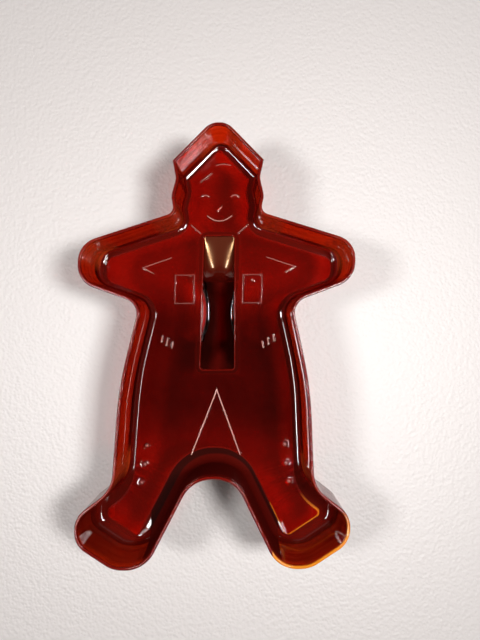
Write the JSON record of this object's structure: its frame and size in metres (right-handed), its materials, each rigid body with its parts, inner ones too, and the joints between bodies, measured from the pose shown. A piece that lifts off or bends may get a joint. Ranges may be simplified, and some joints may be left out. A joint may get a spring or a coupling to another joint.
{
  "type": "cookie cutter",
  "caption": "Child-shaped cookie cutter with a pointed cap: thin cutting wall, rounded shoulder, stamping plate with raised face and clothing lines, hollow handle moulded through a slot",
  "frame": {"origin": "on the ground plane under the centre of the figure, at the middle of the whole part's length and width, level with the lowest face of the handle", "axes": "+Y from the feet to the cap, +Z from the handle up to the cutting edge, +X to the figure's side that is on the right when the cavity is looked into"},
  "size_m": [0.0868, 0.14, 0.0385],
  "materials": {
    "clear_red_plastic": "clear deep-red moulded plastic with a polished surface"
  },
  "bodies": {
    "root": {"cap_crease_line": "clear_red_plastic", "cap_fold_line": "clear_red_plastic", "cutting_wall": "clear_red_plastic", "grip_handle": "clear_red_plastic", "left_collar_line": "clear_red_plastic", "left_cuff_line": "clear_red_plastic", "left_eye_line": "clear_red_plastic", "left_leg_buttons": "clear_red_plastic", "left_pocket_line": "clear_red_plastic", "left_waist_pleats": "clear_red_plastic", "nose_line": "clear_red_plastic", "pocket_button": "clear_red_plastic", "right_collar_line": "clear_red_plastic", "right_cuff_line": "clear_red_plastic", "right_eye_line": "clear_red_plastic", "right_leg_buttons": "clear_red_plastic", "right_pocket_line": "clear_red_plastic", "right_waist_pleats": "clear_red_plastic", "rounded_shoulder": "clear_red_plastic", "smile_line": "clear_red_plastic", "stamp_plate": "clear_red_plastic", "trouser_seam": "clear_red_plastic"}
  },
  "joints": []
}
